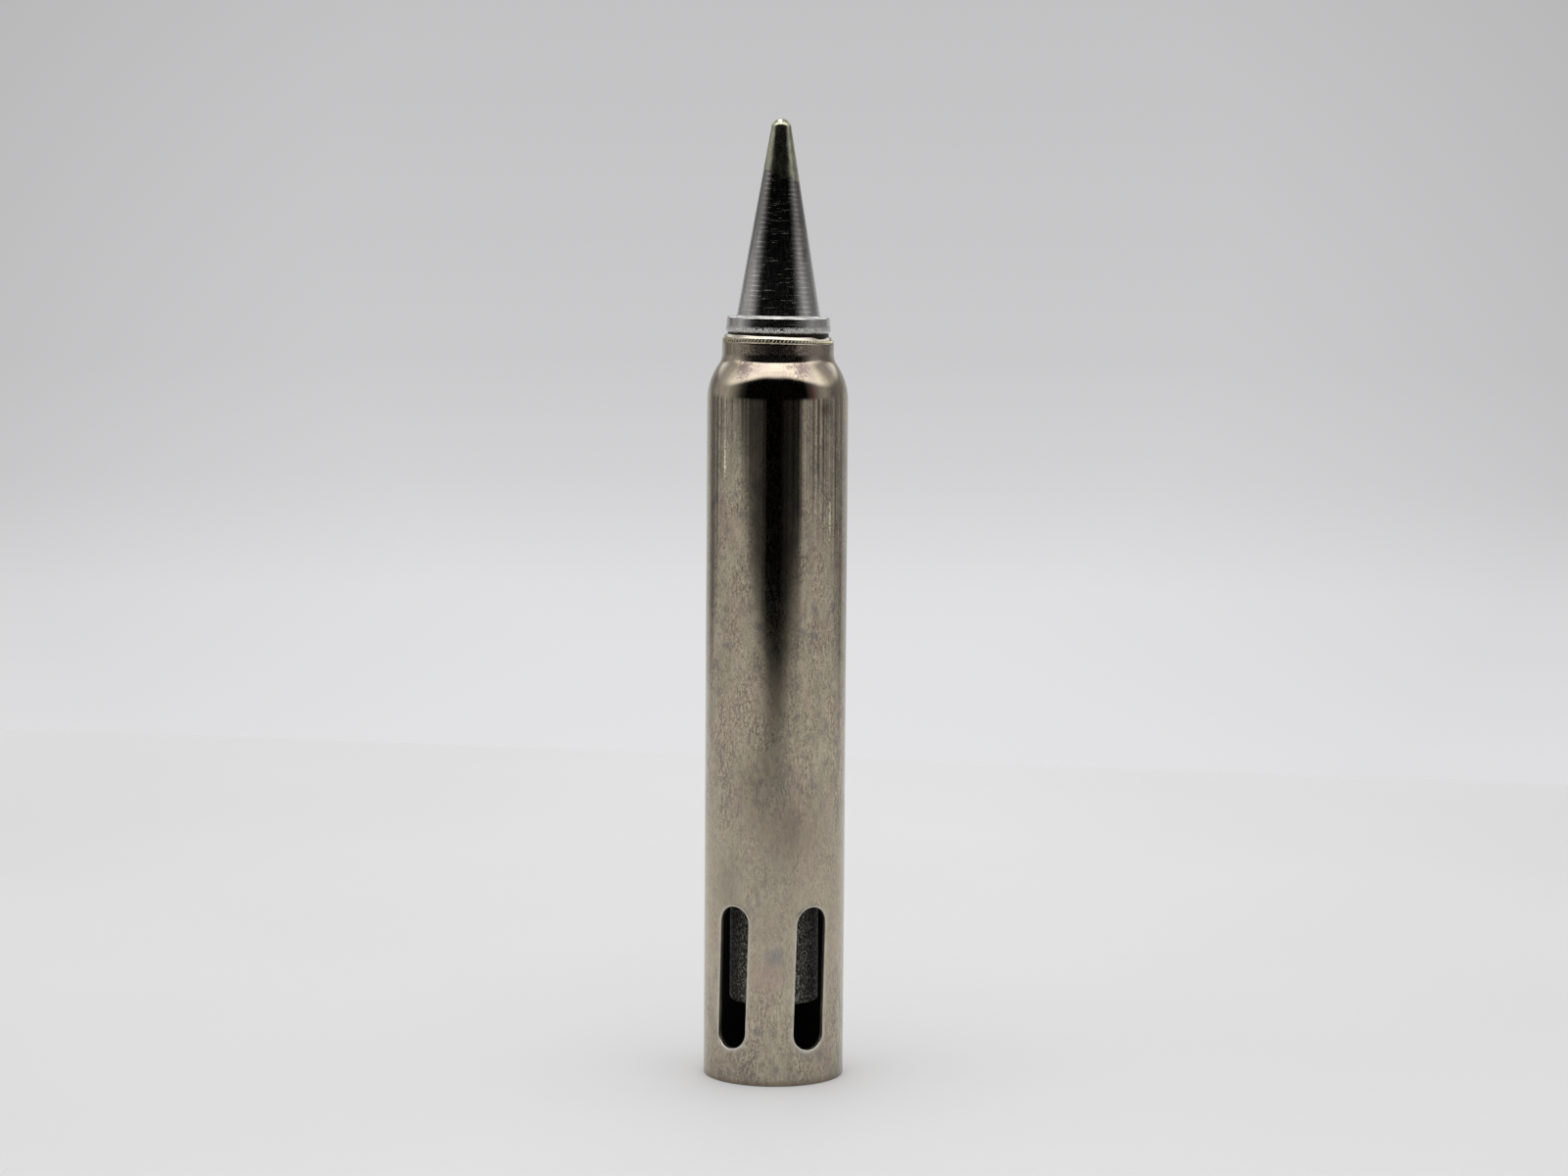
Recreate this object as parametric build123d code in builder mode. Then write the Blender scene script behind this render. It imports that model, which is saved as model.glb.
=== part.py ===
# Push-on soldering iron tip: a plated conical bit carrying its own ventilated steel sleeve.
# Millimetres. The origin is the centre of the sleeve's open end, and +Z runs up the axis to the point.
import os
from math import acos, asin, atan2, cos, degrees, hypot, radians, sin, tan

from build123d import *

# ---- driving dimensions: outer sleeve ----
sleeve_diameter = 7.94
sleeve_wall = 0.30
sleeve_length = 42.05
neck_height = 1.42
shoulder_radius = 3.54
neck_root_round = 0.25
mouth_round = 0.05

# ---- driving dimensions: vent slots ----
slot_count = 5
slot_width = 1.87
slot_length = 8.10
slot_bottom = 2.00
first_slot_angle = 18.0

# ---- driving dimensions: heater tube and its braze joint ----
heater_bore = 4.10
tube_wall = 0.45
tube_recess = 4.30
tube_lead_in = 0.15
spigot_seat_depth = 0.20  # how much the tube is opened out where it takes the core's spigot
braze_leg = 0.34

# ---- driving dimensions: bit ----
flange_thickness = 0.90
flange_overhang = 0.10
flange_round = 0.06
layer_corner_round = 0.02  # least rounding of the flange's corners inside the layers
cone_base_diameter = 4.68
cone_length = 11.05
point_radius = 0.55
neck_spigot_length = 2.55
tube_spigot_length = 4.00

# ---- driving dimensions: plated and tinned layers ----
iron_thickness = 0.25
chrome_thickness = 0.04
solder_thickness = 0.06
tinned_length = 3.20

# ---- named clearances ----
flange_gap = 0.10      # between the sleeve's rolled lip and the flange above it
press_clearance = 0.0  # the spigot is pressed into the neck, metal to metal
braze_clearance = 0.0  # the heater tube is brazed on its spigot

# ---- places and radii that follow from the sizes above ----
sleeve_radius = sleeve_diameter / 2
tube_radius = heater_bore / 2 + tube_wall
tube_seat_radius = heater_bore / 2 + spigot_seat_depth
spigot_radius = tube_radius + braze_leg
neck_radius = spigot_radius + press_clearance + sleeve_wall
flange_radius = spigot_radius + press_clearance + flange_overhang
cone_base_radius = cone_base_diameter / 2

neck_base = sleeve_length - neck_height
shoulder_sweep = degrees(acos(1 - (sleeve_radius - neck_radius) / shoulder_radius))
shoulder_base = neck_base - shoulder_radius * sin(radians(shoulder_sweep))
lip_round = 0.4 * sleeve_wall

flange_bottom = sleeve_length + flange_gap
flange_top = flange_bottom + flange_thickness
point_top = flange_top + cone_length
tin_border = point_top - tinned_length

spigot_step = flange_bottom - neck_spigot_length
well_end = spigot_step - tube_spigot_length

# the cone is the line from its base edge that is tangent to the ball of the point
point_centre = point_top - point_radius
cone_rise = point_centre - flange_top
cone_half_angle = degrees(
    atan2(cone_base_radius, cone_rise) - asin(point_radius / hypot(cone_base_radius, cone_rise))
)


def bit_head(inset):
    """Make the cone, point and flange as one solid, with its skin moved in by inset."""
    ball = point_radius - inset
    tangent_radius = ball * cos(radians(cone_half_angle))
    tangent_height = point_centre + ball * sin(radians(cone_half_angle))
    top = flange_top - inset
    bottom = flange_bottom + inset
    rim = flange_radius - inset
    base_radius = tangent_radius + (tangent_height - top) * tan(radians(cone_half_angle))
    with BuildPart() as head:
        with BuildSketch(Plane.XZ) as head_section:
            with BuildLine():
                CenterArc((0, point_centre), ball, cone_half_angle, 90 - cone_half_angle)
                Polyline(
                    (tangent_radius, tangent_height),
                    (base_radius, top),
                    (rim, top),
                    (rim, bottom),
                    (0, bottom),
                    (0, point_centre + ball),
                )
            make_face()
            rim_corners = head_section.vertices().filter_by_position(Axis.X, rim - 0.001, rim + 0.001)
            fillet(rim_corners, radius=max(flange_round - inset, layer_corner_round))
        revolve(axis=Axis.Z)
    return head.part


# ---- copper core: heart of the cone and flange, with its two spigots ----
with BuildPart() as copper_core:
    add(bit_head(chrome_thickness + iron_thickness))
    with BuildSketch(Plane.XY.offset(spigot_step)):
        Circle(spigot_radius)
    extrude(amount=neck_spigot_length + chrome_thickness + iron_thickness)
    with BuildSketch(Plane.XY.offset(well_end)):
        Circle(tube_seat_radius - braze_clearance)
    extrude(amount=tube_spigot_length)
copper_core.part.label = "copper_core"

# ---- iron plating: the working shell over the cone and flange ----
with BuildPart() as iron_plating:
    add(bit_head(chrome_thickness))
    add(copper_core.part, mode=Mode.SUBTRACT)
iron_plating.part.label = "iron_plating"

# ---- chrome plating: keeps solder off everything below the tinned point ----
with BuildPart() as chrome_plating:
    add(bit_head(0))
    add(iron_plating.part, mode=Mode.SUBTRACT)
    add(copper_core.part, mode=Mode.SUBTRACT)
    split(bisect_by=Plane.XY.offset(tin_border), keep=Keep.BOTTOM)
chrome_plating.part.label = "chrome_plating"

# ---- solder tinning: the wetted cap on the point ----
with BuildPart() as solder_tinning:
    add(bit_head(chrome_thickness - solder_thickness))
    add(iron_plating.part, mode=Mode.SUBTRACT)
    add(copper_core.part, mode=Mode.SUBTRACT)
    split(bisect_by=Plane.XY.offset(tin_border), keep=Keep.TOP)
solder_tinning.part.label = "solder_tinning"

# ---- heater tube: hangs from the core and takes the iron's heater rod ----
with BuildPart() as heater_tube:
    with BuildSketch(Plane.XY.offset(tube_recess)):
        Circle(tube_radius)
        Circle(heater_bore / 2, mode=Mode.SUBTRACT)
    extrude(amount=spigot_step - tube_recess)
    with BuildSketch(Plane.XY.offset(well_end)):
        Circle(tube_seat_radius)
    extrude(amount=tube_spigot_length, mode=Mode.SUBTRACT)
    mouth_edges = heater_tube.edges().group_by(Axis.Z)[0].sort_by(SortBy.RADIUS)
    chamfer(mouth_edges[0], length=tube_lead_in)
heater_tube.part.label = "heater_tube"

# ---- braze ring: fillet of braze between the tube and the core's step ----
with BuildPart() as braze_ring:
    with BuildSketch(Plane.XZ):
        with BuildLine():
            Polyline(
                (tube_radius, spigot_step - braze_leg),
                (tube_radius, spigot_step),
                (tube_radius + braze_leg, spigot_step),
                close=True,
            )
        make_face()
    revolve(axis=Axis.Z)
braze_ring.part.label = "braze_ring"

# ---- outer sleeve: drawn steel tube, necked at the top and pierced with vent slots ----
slot_planes = [
    Plane.YZ.rotated((0, 0, first_slot_angle + slot * 360 / slot_count))
    for slot in range(slot_count)
]

with BuildPart() as outer_sleeve:
    with BuildSketch(Plane.XZ):
        with BuildLine() as sleeve_side:
            Line((sleeve_radius, 0), (sleeve_radius, shoulder_base))
            shoulder = CenterArc(
                (sleeve_radius - shoulder_radius, shoulder_base), shoulder_radius, 0, shoulder_sweep
            )
            Line(shoulder @ 1, (neck_radius, sleeve_length))
            neck_root = sleeve_side.vertices().sort_by_distance((neck_radius, neck_base))[0]
            fillet(neck_root, radius=neck_root_round)
            offset(amount=sleeve_wall, side=Side.LEFT)
        make_face()
    revolve(axis=Axis.Z)
    with BuildSketch(*slot_planes):
        with Locations((0, slot_bottom + slot_length / 2)):
            SlotOverall(slot_length, slot_width, rotation=90)
    extrude(amount=sleeve_diameter, mode=Mode.SUBTRACT)
    fillet(outer_sleeve.edges().group_by(Axis.Z)[-1], radius=lip_round)
    fillet(outer_sleeve.edges().group_by(Axis.Z)[0], radius=mouth_round)
outer_sleeve.part.label = "outer_sleeve"

# ---- one STEP file for each sub-part ----
pieces = [
    copper_core,
    iron_plating,
    chrome_plating,
    solder_tinning,
    heater_tube,
    braze_ring,
    outer_sleeve,
]
os.makedirs("parts", exist_ok=True)
for piece in pieces:
    export_step(piece.part, f"parts/{piece.part.label}.step")
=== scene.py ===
from math import acos, asin, atan2, cos, exp, hypot, pi, radians, sin, sqrt, tan

import bpy
from mathutils import Matrix, Vector, noise


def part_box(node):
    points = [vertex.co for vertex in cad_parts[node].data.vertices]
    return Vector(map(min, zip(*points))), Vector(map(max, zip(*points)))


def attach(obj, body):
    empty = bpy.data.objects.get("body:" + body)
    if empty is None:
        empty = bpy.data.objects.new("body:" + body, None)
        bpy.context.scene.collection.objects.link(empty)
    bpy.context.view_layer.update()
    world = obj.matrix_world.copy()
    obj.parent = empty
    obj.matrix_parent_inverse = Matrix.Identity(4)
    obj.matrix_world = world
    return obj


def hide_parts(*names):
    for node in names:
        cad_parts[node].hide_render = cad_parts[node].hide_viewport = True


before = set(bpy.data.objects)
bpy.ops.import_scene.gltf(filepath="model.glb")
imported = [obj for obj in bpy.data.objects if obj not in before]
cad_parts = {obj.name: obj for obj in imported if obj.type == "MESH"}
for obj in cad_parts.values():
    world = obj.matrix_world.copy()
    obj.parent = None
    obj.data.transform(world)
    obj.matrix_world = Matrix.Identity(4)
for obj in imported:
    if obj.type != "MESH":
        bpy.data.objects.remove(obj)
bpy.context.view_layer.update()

mm = 0.001
body = "root"
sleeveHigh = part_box("outer_sleeve")[1]
flangeLow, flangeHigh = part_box("chrome_plating")
tinLow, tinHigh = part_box("solder_tinning")
coreLow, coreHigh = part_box("copper_core")
tubeLow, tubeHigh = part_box("heater_tube")
brazeLow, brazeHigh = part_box("braze_ring")


def newNode(tree, kind, inputs=None, **settings):
    node = tree.nodes.new(kind)
    for name, value in settings.items():
        setattr(node, name, value)
    for name, value in (inputs or {}).items():
        if isinstance(value, bpy.types.NodeSocket):
            tree.links.new(value, node.inputs[name])
        else:
            node.inputs[name].default_value = value
    return node


def firstOutput(tree, kind, inputs=None, **settings):
    return newNode(tree, kind, inputs, **settings).outputs[0]


def calc(tree, operation, *values):
    return firstOutput(tree, "ShaderNodeMath", dict(enumerate(values)), operation=operation)


def times(tree, first, second):
    return calc(tree, "MULTIPLY", first, second)


def plus(tree, first, second):
    return calc(tree, "ADD", first, second)


def calcVector(tree, operation, *values):
    outputs = newNode(tree, "ShaderNodeVectorMath", dict(enumerate(values)), operation=operation).outputs
    return outputs["Value" if operation in ("LENGTH", "DISTANCE", "DOT_PRODUCT") else "Vector"]


def coordinates(tree, place):
    return newNode(tree, "ShaderNodeSeparateXYZ", {0: place}).outputs


def joined(tree, x=0.0, y=0.0, z=0.0):
    return firstOutput(tree, "ShaderNodeCombineXYZ", {"X": x, "Y": y, "Z": z})


def objectPlace(tree):
    return newNode(tree, "ShaderNodeTexCoord").outputs["Object"]


def smooth(value):
    value = min(max(value, 0.0), 1.0)
    return value * value * (3 - 2 * value)


def meshPiece(name, points, faces, material, marking=None):
    mesh = bpy.data.meshes.new(name)
    mesh.from_pydata(points, [], faces)
    if marking:
        mesh.attributes.new("marking", "FLOAT", "POINT").data.foreach_set("value", marking)
    mesh.materials.append(material)
    mesh.shade_smooth()
    piece = bpy.data.objects.new(name, mesh)
    bpy.context.collection.objects.link(piece)
    return piece


def settle(piece, slot, *nodes):
    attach(piece, body)
    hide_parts(*nodes)


def newFinish(name):
    material = bpy.data.materials.new(name)
    material.use_nodes = True
    tree = material.node_tree
    tree.nodes.clear()
    shader = newNode(tree, "ShaderNodeBsdfPrincipled", {"Metallic": 1.0})
    newNode(tree, "ShaderNodeOutputMaterial", {"Surface": shader.outputs[0]})
    return material, tree, shader


def dress(finish, colour, roughness, relief):
    material, tree, shader = finish
    tree.links.new(colour, shader.inputs["Base Color"])
    tree.links.new(roughness, shader.inputs["Roughness"])
    tree.links.new(relief, shader.inputs["Normal"])
    return material


def grain(tree, size, detail=2.0, roughness=0.5, distortion=0.0, shift=0.0):
    # noise between 0 and 1 whose grain is size millimetres along x, y and z
    stretch = [1 / (side * mm) for side in size]
    place = {"Vector": objectPlace(tree), "Scale": stretch, "Location": (shift, shift, shift)}
    look = {"Scale": 1.0, "Detail": detail, "Roughness": roughness, "Distortion": distortion}
    return firstOutput(
        tree, "ShaderNodeTexNoise", {"Vector": firstOutput(tree, "ShaderNodeMapping", place), **look}
    )


def spread(tree, value, low, high, toLow=0.0, toHigh=1.0, smoothly=False):
    kind = "SMOOTHSTEP" if smoothly else "LINEAR"
    inputs = {"Value": value, "From Min": low, "From Max": high, "To Min": toLow, "To Max": toHigh}
    return newNode(tree, "ShaderNodeMapRange", inputs, interpolation_type=kind).outputs["Result"]


def tint(tree, share, first, second, blend="MIX"):
    # first where share is 0, second where it is 1; each is a colour or a socket
    node = newNode(tree, "ShaderNodeMix", data_type="RGBA", blend_type=blend)
    for socket, value in ((node.inputs[0], share), (node.inputs[6], first), (node.inputs[7], second)):
        if isinstance(value, bpy.types.NodeSocket):
            tree.links.new(value, socket)
        elif isinstance(value, tuple):
            socket.default_value = (*value, 1.0)
        else:
            socket.default_value = value
    return node.outputs[2]


def emboss(tree, relief, depth, under=None):
    # depth is the height in millimetres between relief 0 and relief 1
    inputs = {"Height": relief, "Distance": depth * mm, "Strength": 1.0}
    if under is not None:
        inputs["Normal"] = under
    return newNode(tree, "ShaderNodeBump", inputs).outputs["Normal"]


def height(tree):
    return coordinates(tree, objectPlace(tree))["Z"]


# marks and painted light on the sleeve: angle round the axis in degrees, then height, half width and half
# height in millimetres, strength and colour
sleeveMarksAndPaintedLight = [
    # the first two rows are painted highlights: thin bright vertical streaks that stand in for glints
    (-135, 35.2, 0.07, 0.9, 1.0, (0.85, 0.80, 0.60)),
    (-40, 32.0, 0.07, 1.0, 1.0, (0.85, 0.80, 0.60)),
    (-59, 38.9, 0.26, 0.45, 0.9, (0.50, 0.21, 0.19)),
    (-44, 38.0, 0.45, 0.45, 0.7, (0.15, 0.115, 0.09)),
    # these two rows are painted shade: dark patches in the gaps between the shoulder's highlight lobes
    (-66, 40.25, 0.46, 0.75, 0.85, (0.13, 0.095, 0.092)),
    (-121, 40.30, 0.50, 0.75, 0.85, (0.13, 0.095, 0.092)),
    # this row is painted shade: a dark patch that stands in for the dark reflection on the front of the
    # neck
    (-92, 41.28, 1.80, 0.42, 0.85, (0.10, 0.070, 0.066)),
    (-87, 7.3, 0.60, 0.60, 0.6, (0.22, 0.215, 0.24)),
    (-93, 6.2, 1.10, 0.90, 0.55, (0.44, 0.32, 0.28)),
    (-122, 4.4, 0.70, 0.50, 0.5, (0.24, 0.23, 0.24)),
    (-70, 14.5, 1.3, 1.8, 0.45, (0.24, 0.185, 0.14)),
    (-105, 17.0, 0.9, 2.2, 0.40, (0.25, 0.195, 0.15)),
    (-128, 11.0, 0.8, 2.4, 0.45, (0.27, 0.265, 0.215)),
    (-52, 2.4, 0.9, 1.0, 0.35, (0.24, 0.225, 0.21)),
    (120, 20.0, 0.50, 1.6, 0.6, (0.16, 0.125, 0.10)),
    (175, 28.0, 1.2, 2.0, 0.45, (0.25, 0.195, 0.15)),
    (75, 33.0, 0.8, 1.2, 0.5, (0.24, 0.225, 0.21)),
    (40, 12.5, 0.70, 0.9, 0.6, (0.22, 0.215, 0.24)),
]


def drawnSteel():
    # each pair of heights, in millimetres, is where a change starts and where it is complete
    look = {
        "light": (0.55, 0.483, 0.368),
        "dull": (0.27, 0.234, 0.186),
        "olive": (0.36, 0.343, 0.247),
        "rosy": (0.38, 0.290, 0.235),
        "slate": (0.20, 0.185, 0.195),
        "stainAndShade": (0.14, 0.117, 0.092),
        "straw": (0.40, 0.347, 0.256),
        "mauve": (0.29, 0.232, 0.203),
        "paintedShade": (0.012, 0.011, 0.010),
        "wearAndHighlight": (0.62, 0.59, 0.52),
        "roughness": 0.050,
        "heatTinted": (35.0, 40.7),
        "lighterBand": (17.5, 13.0),
        "lighterBandFoot": (1.5, 8.0),
        "footShade": (0.0, 0.45),
        "lowShade": (0.0, 2.4),
        "mattLow": (12.0, 27.0),
        "mattNeck": (40.5, 40.8),
        "shoulderStart": 38.6,
        "shoulderSlope": 0.33,
    }
    finish = newFinish("drawnSteel")
    tree = finish[1]
    place = objectPlace(tree)
    side = coordinates(tree, place)
    fromAxis = calcVector(tree, "LENGTH", joined(tree, side["X"], side["Y"]))
    clouds = grain(tree, (1.7, 1.7, 3.2), 2.0, 0.5, 0.6, 3.0)
    patches = grain(tree, (0.75, 0.75, 1.5), 3.0, 0.6, 0.5, 5.0)
    dashes = grain(tree, (0.10, 0.10, 0.34), 2.0, 0.6, 0.0, 7.0)
    specks = grain(tree, (0.09, 0.09, 0.13), 2.0, 0.6, 0.0, 9.0)
    blots = grain(tree, (0.50, 0.50, 0.9), 2.0, 0.5, 0.4, 11.0)
    gathered = spread(tree, grain(tree, (1.1, 1.1, 2.0), 2.0, 0.5, 0.5, 13.0), 0.38, 0.60, 0.25, 1.0)

    def fade(heights, start, end):
        return spread(tree, side["Z"], heights[0] * mm, heights[1] * mm, start, end, True)

    def flecked(share, shade):
        return tint(tree, share, colour, look[shade])

    colour = tint(tree, spread(tree, clouds, 0.38, 0.62), look["rosy"], look["olive"])
    worked = tint(tree, spread(tree, patches, 0.34, 0.66), look["dull"], look["light"])
    colour = tint(tree, 0.55, colour, worked)
    for grains, start, end, most, shade in (
        (dashes, 0.53, 0.68, 0.65, "stainAndShade"),
        (dashes, 0.49, 0.34, 1.00, "light"),
        (specks, 0.53, 0.68, 0.80, "stainAndShade"),
    ):
        colour = flecked(times(tree, gathered, spread(tree, grains, start, end, 0.0, most)), shade)
    colour = flecked(spread(tree, specks, 0.46, 0.34, 0.0, 0.60), "light")
    colour = flecked(spread(tree, blots, 0.57, 0.70, 0.0, 0.60), "slate")
    heated = tint(tree, spread(tree, clouds, 0.42, 0.62), look["straw"], look["mauve"])
    colour = tint(tree, fade(look["heatTinted"], 0.0, 0.75), colour, heated)
    # the sleeve is lighter in a band low down, strongest from 8 to 13 mm up
    lighterBand = times(tree, fade(look["lighterBand"], 0.0, 0.40), fade(look["lighterBandFoot"], 0.0, 1.0))
    colour = flecked(lighterBand, "light")
    # painted contact shade: the sleeve darkens towards its foot
    colour = flecked(fade(look["footShade"], 0.55, 0.0), "stainAndShade")
    colour = flecked(fade(look["lowShade"], 0.22, 0.0), "stainAndShade")
    # the sleeve's marks, among them painted highlights and painted shade
    for angle, level, halfWidth, halfHeight, strength, shade in sleeveMarksAndPaintedLight:
        turn = radians(angle)
        reach = sleeveHigh.x - look["shoulderSlope"] * max(level - look["shoulderStart"], 0.0) * mm
        middle = (reach * cos(turn), reach * sin(turn), level * mm)
        away = calcVector(tree, "SUBTRACT", place, middle)
        away = calcVector(tree, "DIVIDE", away, (halfWidth * mm, halfWidth * mm, halfHeight * mm))
        ragged = spread(tree, specks, 0.35, 0.65, -0.6, 0.6)
        ragged = plus(tree, calcVector(tree, "LENGTH", away), ragged)
        colour = tint(tree, spread(tree, ragged, 1.1, 0.5, 0.0, strength), colour, shade)
    # the bore never sees a brush: it is heat scaled inside, and painted shade darkens it almost to black
    bore = spread(tree, fromAxis, 3.70 * mm, 3.90 * mm, 1.0, 0.0)
    bore = times(tree, bore, spread(tree, side["Z"], 37 * mm, 38 * mm, 1.0, 0.0))
    colour = flecked(bore, "paintedShade")
    # the point attribute is above 0 where the steel is rubbed bright, partly a painted highlight, and below
    # 0 where painted shade darkens the groove under the lip
    marking = newNode(tree, "ShaderNodeAttribute", attribute_name="marking").outputs["Fac"]
    colour = flecked(spread(tree, marking, 0.0, 1.0), "wearAndHighlight")
    colour = flecked(spread(tree, marking, 0.0, -1.0), "paintedShade")
    rough = plus(tree, spread(tree, dashes, 0.25, 0.75, -0.02, 0.04), look["roughness"])
    for more in (
        fade(look["mattLow"], 0.15, 0.0),
        fade(look["mattNeck"], 0.0, 0.11),
        spread(tree, specks, 0.45, 0.75, 0.0, 0.04),
        times(tree, bore, 0.45),
    ):
        rough = plus(tree, rough, more)
    return dress(finish, colour, rough, emboss(tree, specks, 0.0003, emboss(tree, dashes, 0.0005)))


def turnedChrome():
    look = {
        "light": (0.54, 0.532, 0.507),
        "dark": (0.38, 0.374, 0.356),
        "smoked": (0.20, 0.195, 0.185),
        "marking": (0.66, 0.65, 0.62),
        "smokeFrom": 44.0 * mm,
        "smokeTo": 48.5 * mm,
        "smokeWander": 2.2 * mm,
        "chipFrom": flangeLow.z + 0.42 * mm,
        "chipTo": flangeLow.z + 0.22 * mm,
        "chipRoughness": 0.30,
        "scratchRoughness": 0.34,
    }
    finish = newFinish("turnedChrome")
    tree = finish[1]
    rings = grain(tree, (1.6, 1.6, 0.075), 3.0, 0.7)
    patches = grain(tree, (0.7, 0.7, 1.5), 3.0, 0.6, 0.5, 5.0)
    scuffs = grain(tree, (0.10, 0.10, 0.9), 2.0, 0.6, 0.0, 9.0)
    colour = tint(tree, spread(tree, patches, 0.35, 0.65), look["dark"], look["light"])
    # heat has smoked it towards the point, in streaks
    level = height(tree)
    wander = spread(tree, patches, 0.3, 0.7, -look["smokeWander"], look["smokeWander"])
    smoke = plus(tree, level, wander)
    smoke = spread(tree, smoke, look["smokeFrom"], look["smokeTo"], 0.0, 0.92, True)
    colour = tint(tree, smoke, colour, look["smoked"])
    colour = tint(tree, spread(tree, rings, 0.62, 0.74, 0.0, 0.5), colour, look["marking"])
    # the flange's lower corner is chipped and dull
    chips = spread(tree, grain(tree, (0.11, 0.11, 0.09), 3.0, 0.65, 0.4, 21.0), 0.44, 0.58)
    chips = times(tree, chips, spread(tree, level, look["chipFrom"], look["chipTo"]))
    colour = tint(tree, times(tree, chips, 0.8), colour, look["marking"])
    scratches = spread(tree, grain(tree, (1.1, 1.1, 0.045), 2.0, 0.6, 0.0, 15.0), 0.63, 0.70)
    rough = spread(tree, rings, 0.3, 0.7, 0.07, 0.15)
    rough = plus(tree, rough, times(tree, chips, look["chipRoughness"]))
    rough = plus(tree, rough, spread(tree, scuffs, 0.5, 0.8, 0.0, 0.10))
    rough = plus(tree, rough, times(tree, scratches, look["scratchRoughness"]))
    relief = emboss(tree, scuffs, 0.0006, emboss(tree, rings, 0.0055))
    return dress(finish, colour, rough, emboss(tree, chips, 0.010, relief))


def wettedSolder():
    look = {
        "bright": (0.48, 0.475, 0.36),
        "dull": (0.32, 0.315, 0.23),
        "burnt": (0.13, 0.118, 0.085),
        "flux": (0.13, 0.085, 0.06),
        "brightest": (0.75, 0.74, 0.62),
        "point": (0.10 * mm, 0.0, tinHigh.z),
        "paintedGlint": (0.03 * mm, -0.36 * mm, tinHigh.z - 0.14 * mm),
    }
    finish = newFinish("wettedSolder")
    tree = finish[1]
    pools = grain(tree, (0.35, 0.35, 0.8), 3.0, 0.6, 0.8)
    flecks = grain(tree, (0.08, 0.08, 0.12), 2.0, 0.6, 0.0, 4.0)
    colour = tint(tree, spread(tree, pools, 0.35, 0.62), look["dull"], look["bright"])
    colour = tint(tree, spread(tree, flecks, 0.62, 0.80, 0.0, 0.7), colour, look["burnt"])
    # painted shade darkens the very point, and a painted highlight sits on it as one bright spot facing the
    # camera
    fromPoint = calcVector(tree, "DISTANCE", objectPlace(tree), look["point"])
    burn = spread(tree, fromPoint, 0.62 * mm, 0.42 * mm, 0.0, 0.85, True)
    colour = tint(tree, burn, colour, look["burnt"])
    fromPaintedGlint = calcVector(tree, "DISTANCE", objectPlace(tree), look["paintedGlint"])
    colour = tint(tree, spread(tree, fromPaintedGlint, 0.17 * mm, 0.08 * mm), colour, look["brightest"])
    # the point attribute rises to 1 at the solder's border, where burnt flux gathers
    border = newNode(tree, "ShaderNodeAttribute", attribute_name="marking").outputs["Fac"]
    border = times(tree, border, spread(tree, pools, 0.35, 0.55, 0.15, 0.55))
    colour = tint(tree, border, colour, look["flux"])
    relief = emboss(tree, flecks, 0.0006, emboss(tree, pools, 0.003))
    return dress(finish, colour, spread(tree, pools, 0.3, 0.7, 0.12, 0.22), relief)


def oxidisedSteel():
    look = {"scale": (0.030, 0.029, 0.025), "bare": (0.34, 0.33, 0.27), "metallic": 0.35, "shine": 0.15}
    finish = newFinish("oxidisedSteel")
    tree, shader = finish[1:]
    shader.inputs["Metallic"].default_value = look["metallic"]  # mostly iron oxide
    shader.inputs["Specular IOR Level"].default_value = look["shine"]
    scale = grain(tree, (0.11, 0.11, 0.15), 3.0, 0.65)
    cloud = grain(tree, (1.2, 1.2, 3.0), 2.0, 0.5, 0.4, 6.0)
    colour = tint(tree, spread(tree, scale, 0.47, 0.62), look["scale"], look["bare"])
    colour = tint(tree, spread(tree, cloud, 0.35, 0.65, 0.0, 0.5), colour, look["scale"])
    return dress(finish, colour, spread(tree, scale, 0.3, 0.7, 0.95, 0.65), emboss(tree, scale, 0.012))


def bareCopper():
    look = {
        "brightest": (0.80, 0.43, 0.30),
        "oxide": (0.22, 0.11, 0.08),
        "burnt": (0.02, 0.013, 0.011),
        "burntFrom": 39.9 * mm,
        "burntTo": 41.7 * mm,
    }
    finish = newFinish("bareCopper")
    tree = finish[1]
    cloud = grain(tree, (0.6, 0.6, 0.6), 4.0, 0.6, 0.5)
    rings = grain(tree, (5.0, 5.0, 0.06), 2.0, 0.6)
    colour = tint(tree, spread(tree, cloud, 0.38, 0.62), look["brightest"], look["oxide"])
    burn = spread(tree, height(tree), look["burntFrom"], look["burntTo"], 0.0, 1.0, True)
    colour = tint(tree, burn, colour, look["burnt"])
    return dress(finish, colour, spread(tree, cloud, 0.3, 0.7, 0.28, 0.5), emboss(tree, rings, 0.003))


def plainFinish(name, look):
    # one noise sets the colour, the roughness and the relief
    finish = newFinish(name)
    tree = finish[1]
    noise01 = grain(tree, look["grain"], look["detail"], 0.6, look["distortion"])
    colour = tint(tree, spread(tree, noise01, 0.35, look["lightFrom"]), look["dark"], look["light"])
    rough = spread(tree, noise01, 0.3, 0.7, *look["roughness"])
    return dress(finish, colour, rough, emboss(tree, noise01, look["relief"]))


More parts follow.
